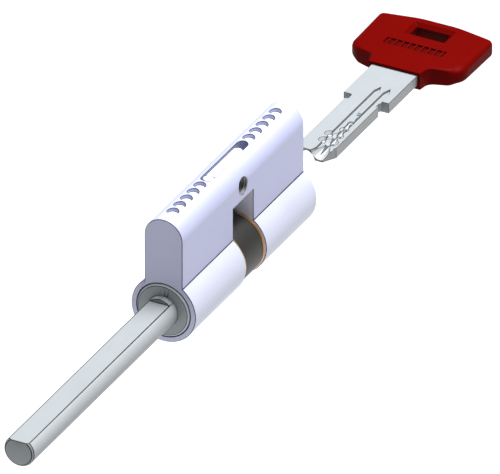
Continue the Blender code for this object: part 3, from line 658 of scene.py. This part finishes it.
def make_shaft_plug():
    low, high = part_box("shaft_plug")
    profile = [(high.x, 0), (high.x, NECK_RADIUS), (-CLIP_LOW_X, NECK_RADIUS),
               (-CLIP_LOW_X, CLIP_GROOVE_RADIUS), (-CLIP_HIGH_X, CLIP_GROOVE_RADIUS),
               (-CLIP_HIGH_X, NECK_RADIUS), (-ROTOR_BACK_X, NECK_RADIUS), (-ROTOR_BACK_X, ROTOR_RADIUS),
               (low.x + ROTOR_CHAMFER, ROTOR_RADIUS), (low.x, ROTOR_RADIUS - ROTOR_CHAMFER), (low.x, 0)]
    plug = turned("plug", profile, "X", (0, AXIS_Z))
    coat_with(plug, GROUND, GROUND_EDGE, GROUND_FACE, BRIGHT_NICKEL_AND_PAINTED_HIGHLIGHT)
    carve(plug, rod(-0.0134, PAST, 0.0028, "X", (0, AXIS_Z), 6),
          rod(low.x - PAST, SHAFT_SOCKET_END_X, SHAFT_SOCKET_RADIUS, "X", (0, AXIS_Z)),
          rod(-BARREL_RADIUS, BARREL_RADIUS, SHAFT_PIN_HOLE_RADIUS, "Y", (SHAFT_PIN_X, AXIS_Z)),
          block((-0.0033, -0.0012, AXIS_Z + 0.0042), (PAST, 0.0012, AXIS_Z + BARREL_RADIUS)))
    # Painted highlight: the front chamfer of the steel plug takes the bright nickel.
    paint(plug, BRIGHT_NICKEL_AND_PAINTED_HIGHLIGHT, lambda centre, normal: centre.x < low.x + ROTOR_CHAMFER and -0.9 < normal.x < -0.5)
    soften(plug, FINE_EDGE, edge_material=True, angle=40)
    paint(plug, GROUND_FACE, lambda centre, normal: normal.x < -0.99 and centre.x < low.x + EDGE)
    show(plug, "shaft_rotor", "drive", ["shaft_plug"])


def make_shaft():
    low, high = SHAFT_LOW, SHAFT_HIGH
    shaft = turned("shaft", [(high.x, 0), (high.x, SHAFT_RADIUS), (low.x + SHAFT_CHAMFER, SHAFT_RADIUS),
                             (low.x, SHAFT_RADIUS - SHAFT_CHAMFER), (low.x, 0)], "X", (0, AXIS_Z))
    # Painted light: the shaft's round side takes the lighter copy of the steel, and the flat keeps the plain
    # ground steel.
    coat_with(shaft, GROUND_PAINTED_LIGHT, GROUND_EDGE, GROUND_FACE, GROUND)
    carve(shaft, block((low.x - PAST, -BARREL_RADIUS, AXIS_Z + SHAFT_FLAT),
                       (FLAT_START_X, BARREL_RADIUS, AXIS_Z + BARREL_RADIUS)),
          rod(-BARREL_RADIUS, BARREL_RADIUS, SHAFT_PIN_HOLE_RADIUS, "Y", (SHAFT_PIN_X, AXIS_Z)))
    soften(shaft, edge_material=True)
    paint(shaft, GROUND_FACE, lambda centre, normal: normal.x < -0.99)
    paint(shaft, GROUND, lambda centre, normal: normal.z > 0.99 and centre.z > AXIS_Z + SHAFT_FLAT - EDGE)
    show(shaft, "drive_shaft", "drive", ["shaft"])


def make_cam():
    cam_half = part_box("cam")[1].x
    lever = 90 - LEVER_ANGLE
    root = degrees(asin(LEVER_ROOT_HALF / CAM_RADIUS))
    tip = degrees(asin(LEVER_TIP_HALF / LEVER_RADIUS))
    outline = (arc((0, AXIS_Z), CAM_RADIUS, lever + root, lever + 360 - root, FINE)
               + arc((0, AXIS_Z), LEVER_RADIUS, lever - tip, lever + tip, 16))
    cam = prism(outline, -cam_half, cam_half, "YZ", "cam_ring")
    coat_with(cam, OXIDE)
    wide = cam_half + PAST
    carve(cam, rod(-wide, wide, CAM_BORE_RADIUS, "X", (0, AXIS_Z), FINE),
          rod(-wide, -CAM_RECESS_X, CAM_RECESS_RADIUS, "X", (0, AXIS_Z), FINE),
          rod(CAM_RECESS_X, wide, CAM_RECESS_RADIUS, "X", (0, AXIS_Z), FINE))
    join(cam, block((-0.0030, -0.0010, AXIS_Z + 0.0044), (-0.0004, 0.0010, AXIS_Z + 0.0073)))
    soften(cam, 0.00015)
    show(cam, "cam_ring", "drive", ["cam"])


def make_washers():
    for side in ("key", "shaft"):
        name = f"{side}_washer"
        low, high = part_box(name)
        outer = (high.y - low.y) / 2
        edge = 0.00012
        profile = [(high.x, WASHER_BORE_RADIUS), (high.x, outer - edge), (high.x - edge, outer),
                   (low.x + edge, outer), (low.x, outer - edge), (low.x, WASHER_BORE_RADIUS)]
        washer = turned(name, profile, "X", (0, AXIS_Z), closed=True)
        coat_with(washer, COPPER)
        show(washer, f"{side}_thrust_washer", "housing", [name])


# ------------------------------------------------------------------ key
def blade_face_tools(sign):
    """Dimples, pin track, grooves and tip cone of one face; the other face has them half a turn round."""
    row = KEY_SIDE - sign * DIMPLE_ROW
    face = AXIS_Z + sign * KEY_HALF_THICKNESS
    start = KEY_TIP_X - PAST
    slope = TIP_CONE_RADIUS / TIP_CONE_LENGTH
    tools = [cone(start, KEY_TIP_X + TIP_CONE_LENGTH, TIP_CONE_RADIUS + PAST * slope, PLAY, "X",
                  (row, face + sign * PLAY))]
    dimples = [(FIRST_DIMPLE_X + i * CHAMBER_PITCH, row, depth) for i, depth in enumerate(DIMPLE_DEPTHS)]
    dimples += [(KEY_TIP_X + x, KEY_SIDE, SIDE_DIMPLE_DEPTH) for x in SIDE_DIMPLES]
    for x, y, depth in dimples:
        levels = sorted((face - sign * depth, face + sign * depth))
        radii = (DIMPLE_FLOOR_RADIUS, DIMPLE_FLOOR_RADIUS + 2 * depth)[::sign]
        tools.append(cone(*levels, *radii, "Z", (x, y)))
    steps = []
    for i, depth in enumerate(DIMPLE_DEPTHS):
        floor = face - sign * (depth + PLAY / 2)
        steps += [(steps[-1][0] if steps else start, floor),
                  (FIRST_DIMPLE_X + i * CHAMBER_PITCH + TRACK_HALF_WIDTH, floor)]
    steps += [(steps[-1][0], face + sign * PAST), (start, face + sign * PAST)]
    tools.append(prism(steps, row - TRACK_HALF_WIDTH, row + TRACK_HALF_WIDTH, "XZ"))
    for sides in GROOVES:
        near, far = (KEY_SIDE - sign * side for side in sides)
        low, high = sorted((face - sign * GROOVE_DEPTH, face + sign * PAST))
        tools.append(prism([(start, near), (GROOVE_END_X, near), (GROOVE_POINT_X, (near + far) / 2),
                            (GROOVE_END_X, far), (start, far)], low, high, "XY"))
    return tools


def make_blade():
    tang_x = KEY_HEAD_X + TANG_LENGTH
    half = [(KEY_TIP_X, BLADE_TIP_HALF_WIDTH, 0), (KEY_TIP_X + BLADE_TIP_LENGTH, BLADE_HALF_WIDTH, 0),
            (KEY_NECK_X, BLADE_HALF_WIDTH, 0), (KEY_NECK_X + 0.0004, NOTCH_HALF_WIDTH, 0),
            (KEY_SHOULDER_X, NOTCH_HALF_WIDTH, 0.0006), (KEY_SHOULDER_X, BASE_HALF_WIDTH, 0),
            (tang_x, BASE_HALF_WIDTH, 0), (tang_x, TANG_HALF_WIDTH, 0), (BLADE_HIGH.x, TANG_HALF_WIDTH, 0)]
    outline = filleted([(x, y + KEY_SIDE, r) for x, y, r in mirrored(half)])
    blade = prism(outline, BLADE_LOW.z, BLADE_HIGH.z, "XY", "blade")
    coat_with(blade, GROUND, GROUND_EDGE, GROUND_SIDE, GROUND_PAINTED_LIGHT)
    for sign in (1, -1):
        carve(blade, *blade_face_tools(sign), solver="MANIFOLD")
    deep = KEY_HALF_THICKNESS - GROOVE_DEPTH - PLAY
    paint(blade, GROUND_SIDE, lambda centre, normal: abs(normal.z) < 0.05 and abs(normal.x) < 0.9)
    # Painted highlight: the floors of the dimples, the grooves and the tip cone take the lighter copy of the
    # steel.
    paint(blade, GROUND_PAINTED_LIGHT, lambda centre, normal: abs(centre.z - AXIS_Z) < deep and abs(normal.z) > 0.2
          and centre.x < GROOVE_END_X)
    soften(blade, FINE_EDGE, segments=1, edge_material=True, angle=24)
    show(blade, "key_shank", "key", ["key_blade"], 20)


def head_body():
    """The moulded head, whose edge is rounded over along the sides and hardly at all beside the blade."""
    corners = [(KEY_HEAD_X + x, y + KEY_SIDE, radius) for x, y, radius in mirrored(HEAD_CORNERS)]
    outline = filleted(corners, 14)
    count = len(outline)
    inward = []
    for i, (x, y) in enumerate(outline):
        along = Vector(outline[(i + 1) % count]) - Vector(outline[i - 1])
        width = HEAD_ROUNDING_SIDE
        if x < KEY_HEAD_X + HEAD_NECK_END:
            blend = max(0, (x - KEY_HEAD_X - HEAD_NECK_START) / (HEAD_NECK_END - HEAD_NECK_START))
            width = HEAD_ROUNDING_NECK + (HEAD_ROUNDING_SIDE - HEAD_ROUNDING_NECK) * blend * blend
        if x > KEY_HEAD_X + HEAD_FAR_START:
            blend = min(1, (x - KEY_HEAD_X - HEAD_FAR_START) / (HEAD_FAR_END - HEAD_FAR_START))
            width += (HEAD_ROUNDING_FAR - width) * blend
        inward.append((Vector((-along.y, along.x)).normalized(), width))

    def build(work):
        rings = []
        for side in (-1, 1):
            turns = range(HEAD_ROUNDING_STEPS + 1)
            for k in (reversed(turns) if side < 0 else turns):
                turn = pi / 2 * k / HEAD_ROUNDING_STEPS
                ring = []
                for (x, y), (way, width) in zip(outline, inward):
                    high = min(width, HEAD_ROUNDING_HEIGHT)
                    z = AXIS_Z + side * (HEAD_HALF_THICKNESS - high * (1 - sin(turn)))
                    shift = way * width * (1 - cos(turn))
                    ring.append(work.verts.new((x + shift.x, y + shift.y, z)))
                rings.append(ring)
        for one, other in zip(rings, rings[1:]):
            for i in range(count):
                j = (i + 1) % count
                work.faces.new((one[i], one[j], other[j], other[i]))
        work.faces.new(rings[0])
        work.faces.new(rings[-1])

    return piece("head", build)


def make_head():
    head = head_body()
    coat_with(head, RED, RED, RED_PAINTED_SHADE)
    top = HEAD_HALF_THICKNESS
    pocket = KEY_HALF_THICKNESS + PLAY
    tangs = ((BASE_HALF_WIDTH, KEY_HEAD_X + TANG_LENGTH), (TANG_HALF_WIDTH, BLADE_HIGH.x))
    tools = [block((KEY_HEAD_X - PAST, KEY_SIDE - half_width - PLAY, AXIS_Z - pocket),
                   (end + PLAY, KEY_SIDE + half_width + PLAY, AXIS_Z + pocket)) for half_width, end in tangs]
    tools.append(block((RING_SLOT_X - RING_SLOT_HALF[0], KEY_SIDE - RING_SLOT_HALF[1], AXIS_Z - 2 * top),
                       (RING_SLOT_X + RING_SLOT_HALF[0], KEY_SIDE + RING_SLOT_HALF[1], AXIS_Z + 2 * top)))
    for sign in (1, -1):
        tools.append(funnel(RING_SLOT_X, RING_SLOT_HALF, RING_RIM_HALF, sign))
        low, high = sorted((AXIS_Z + sign * (top - LABEL_DEPTH), AXIS_Z + sign * 2 * top))
        tools.append(block((LABEL_X - LABEL_HALF[0], KEY_SIDE - LABEL_HALF[1], low),
                           (LABEL_X + LABEL_HALF[0], KEY_SIDE + LABEL_HALF[1], high)))
    carve(head, *tools)
    ribs = []
    for sign in (1, -1):
        low, high = sorted((AXIS_Z + sign * (top - 2 * LABEL_DEPTH), AXIS_Z + sign * (top - LABEL_DEPTH / 4)))
        for i in range(LABEL_RIBS):
            y = KEY_SIDE + LABEL_HALF[1] * ((2 * i + 1) / LABEL_RIBS - 1)
            ribs.append(block((LABEL_X - LABEL_HALF[0] - PLAY, y - LABEL_RIB_HALF, low),
                              (LABEL_X + LABEL_HALF[0] + PLAY, y + LABEL_RIB_HALF, high)))
    join(head, *ribs)
    soften(head, 0.00012, angle=40)

    def within(centre, x, half):
        return abs(centre.x - x) < half[0] + PLAY and abs(centre.y - KEY_SIDE) < half[1] + PLAY

    # Painted shade: the ring slot and the label recess floor take the darker copy of the red.
    def painted_shade_faces(centre, normal):
        deep = top - abs(centre.z - AXIS_Z) > LABEL_DEPTH / 2
        return within(centre, RING_SLOT_X, RING_SLOT_HALF) or (within(centre, LABEL_X, LABEL_HALF) and deep)

    paint(head, RED_PAINTED_SHADE, painted_shade_faces)
    show(head, "key_bow", "key", ["key_head"])


def funnel(x, inner, outer, sign):
    """The sloping rim of the ring slot on one face: a frustum with a rectangular section."""
    shallow = AXIS_Z + sign * (HEAD_HALF_THICKNESS + RING_RIM_DEPTH)
    deep = AXIS_Z + sign * (HEAD_HALF_THICKNESS - RING_RIM_DEPTH)
    wide = [2 * b - a for a, b in zip(inner, outer)]

    def build(work):
        rings = []
        for z, (a, b) in ((deep, inner), (shallow, wide)):
            rings.append([work.verts.new((x + i * a, KEY_SIDE + j * b, z))
                          for i, j in ((-1, -1), (1, -1), (1, 1), (-1, 1))])
        for i in range(4):
            j = (i + 1) % 4
            work.faces.new((rings[0][i], rings[0][j], rings[1][j], rings[1][i]))
        work.faces.new(rings[0])
        work.faces.new(rings[1])

    return piece("cutter", build)


# ------------------------------------------------------------------ carried-over solids
def make_spring(name, body):
    """A copy of the wound solid in spring wire, shown in place of it."""
    solid = frame["nodes"][name]
    spring = solid.copy()
    spring.data = solid.data.copy()
    bpy.context.scene.collection.objects.link(spring)
    coat_with(spring, WIRE)
    show(spring, f"wound_{name}", body, [name])
    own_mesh(spring)


def make_springs():
    for number, x in chamber_places():
        make_spring(f"pin_spring_{number}", "housing")
    make_spring("clutch_spring", "drive")


def finish_inner_solids():
    """Gives the solids that are shown as they are their materials, by the start of their names."""
    kept = {"driver_pin": GROUND, "key_pin": BRASS, "clutch": GROUND,
            "shaft_pin": GROUND, "key_circlip": WIRE, "shaft_circlip": WIRE}
    for name, solid in frame["nodes"].items():
        for start, material in kept.items():
            if name.startswith(start) and not solid.hide_render:
                coat_with(solid, material)
                solid.data.shade_smooth()
                solid.data.set_sharp_from_angle(angle=radians(30))
                break


# ------------------------------------------------------------------ stage
VIEW_AZIMUTH = -62.557
VIEW_ELEVATION = 30.605
VIEW_AIM = (-0.00316, -0.00843, -0.01141)
VIEW_WIDTH = 0.11773
LENS = 1500
SENSOR = 36
FLOOR_DROP = 0.15
FLOOR_HALF = 3
FLOOR_THICKNESS = 0.03


def make_camera():
    """A long lens from far off, which comes close to a view without perspective."""
    a, e = radians(VIEW_AZIMUTH), radians(VIEW_ELEVATION)
    back = Vector((sin(a) * cos(e), -cos(a) * cos(e), sin(e)))
    camera = bpy.data.objects.new("camera", bpy.data.cameras.new("camera"))
    camera.data.lens = LENS
    camera.data.sensor_width = SENSOR
    camera.data.clip_end = 30
    camera.location = Vector(VIEW_AIM) + back * VIEW_WIDTH * LENS / SENSOR
    camera.rotation_euler = (-back).to_track_quat("-Z", "Y").to_euler()
    bpy.context.scene.collection.objects.link(camera)
    bpy.context.scene.camera = camera


def area_light(name, direction, distance, size, power):
    lamp = bpy.data.objects.new(name, bpy.data.lights.new(name, "AREA"))
    lamp.data.size = size
    lamp.data.energy = power
    way = Vector(direction).normalized()
    lamp.location = Vector(VIEW_AIM) + way * distance
    lamp.rotation_euler = (-way).to_track_quat("-Z", "Y").to_euler()
    bpy.context.scene.collection.objects.link(lamp)


def make_stage():
    """A pale floor, one soft lamp overhead, and a world that lights little but looks pale."""
    floor_z = CAD_BOX[0].z - FLOOR_DROP
    floor = block((-FLOOR_HALF, -FLOOR_HALF, floor_z - FLOOR_THICKNESS),
                  (FLOOR_HALF, FLOOR_HALF, floor_z), "floor")
    material = bpy.data.materials.new("pale_floor")
    material.use_nodes = True
    shader = material.node_tree.nodes["Principled BSDF"]
    shader.inputs["Base Color"].default_value = (0.60, 0.60, 0.60, 1)
    shader.inputs["Roughness"].default_value = 0.9
    shader.inputs["Specular IOR Level"].default_value = 0.1
    coat_with(floor, material)

    world = bpy.data.worlds.new("studio")
    world.use_nodes = True
    tree = world.node_tree
    ambient = tree.nodes["Background"]
    ambient.inputs["Color"].default_value = (1.0, 1.0, 1.0, 1)
    ambient.inputs["Strength"].default_value = 0.16
    backdrop = tree.nodes.new("ShaderNodeBackground")
    backdrop.inputs["Color"].default_value = (0.9, 0.9, 0.9, 1)
    rays = tree.nodes.new("ShaderNodeLightPath")
    either = tree.nodes.new("ShaderNodeMixShader")
    tree.links.new(rays.outputs["Is Camera Ray"], either.inputs[0])
    tree.links.new(ambient.outputs[0], either.inputs[1])
    tree.links.new(backdrop.outputs[0], either.inputs[2])
    tree.links.new(either.outputs[0], tree.nodes["World Output"].inputs["Surface"])
    bpy.context.scene.world = world
    bpy.context.scene.view_settings.view_transform = "Standard"

    area_light("overhead", (0.20, -0.11, 1.0), 1.3, 0.8, 47.0)


make_housing()
make_bridge()
make_chamber_plugs()
make_key_plug()
make_shaft_plug()
make_shaft()
make_cam()
make_washers()
make_blade()
make_head()
make_springs()
finish_inner_solids()
make_stage()
make_camera()
